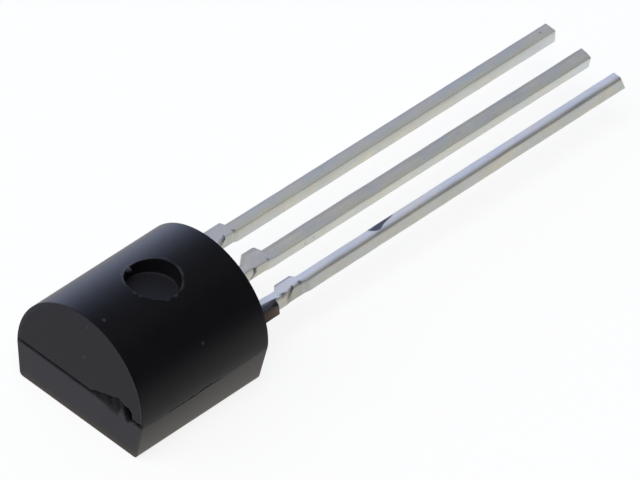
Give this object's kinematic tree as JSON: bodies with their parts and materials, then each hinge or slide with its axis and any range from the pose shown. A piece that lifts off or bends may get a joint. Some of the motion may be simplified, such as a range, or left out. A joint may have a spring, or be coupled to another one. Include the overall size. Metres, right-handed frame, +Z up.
{
  "type": "to-92 transistor",
  "caption": "Transistor in a small moulded through-hole package: a black D-shaped epoxy body with a flat face, a rounded back and straight square tinned leads.",
  "frame": {"origin": "centre of the flat face, midway between the two ends of the body", "axes": "+Z up, from the flat face to the rounded back; +Y along the leads to their tips; +X to the right lead when seen from above with the leads pointing away"},
  "size_m": [0.0044, 0.0189, 0.0034],
  "materials": {
    "epoxy": "fine matte moulded epoxy on the ends, smoother on the rounded back",
    "tin": "matte tin plating, softly drawn along the leads",
    "die_attach": "dull silver-filled adhesive",
    "silicon": "dark polished silicon",
    "gold": "drawn gold wire"
  },
  "bodies": {
    "root": {"body": "epoxy", "lead_left": "tin", "lead_middle": "tin", "lead_right": "tin", "die_attach": "die_attach", "die": "silicon", "bond_wire_left": "gold", "bond_wire_right": "gold"}
  },
  "joints": []
}
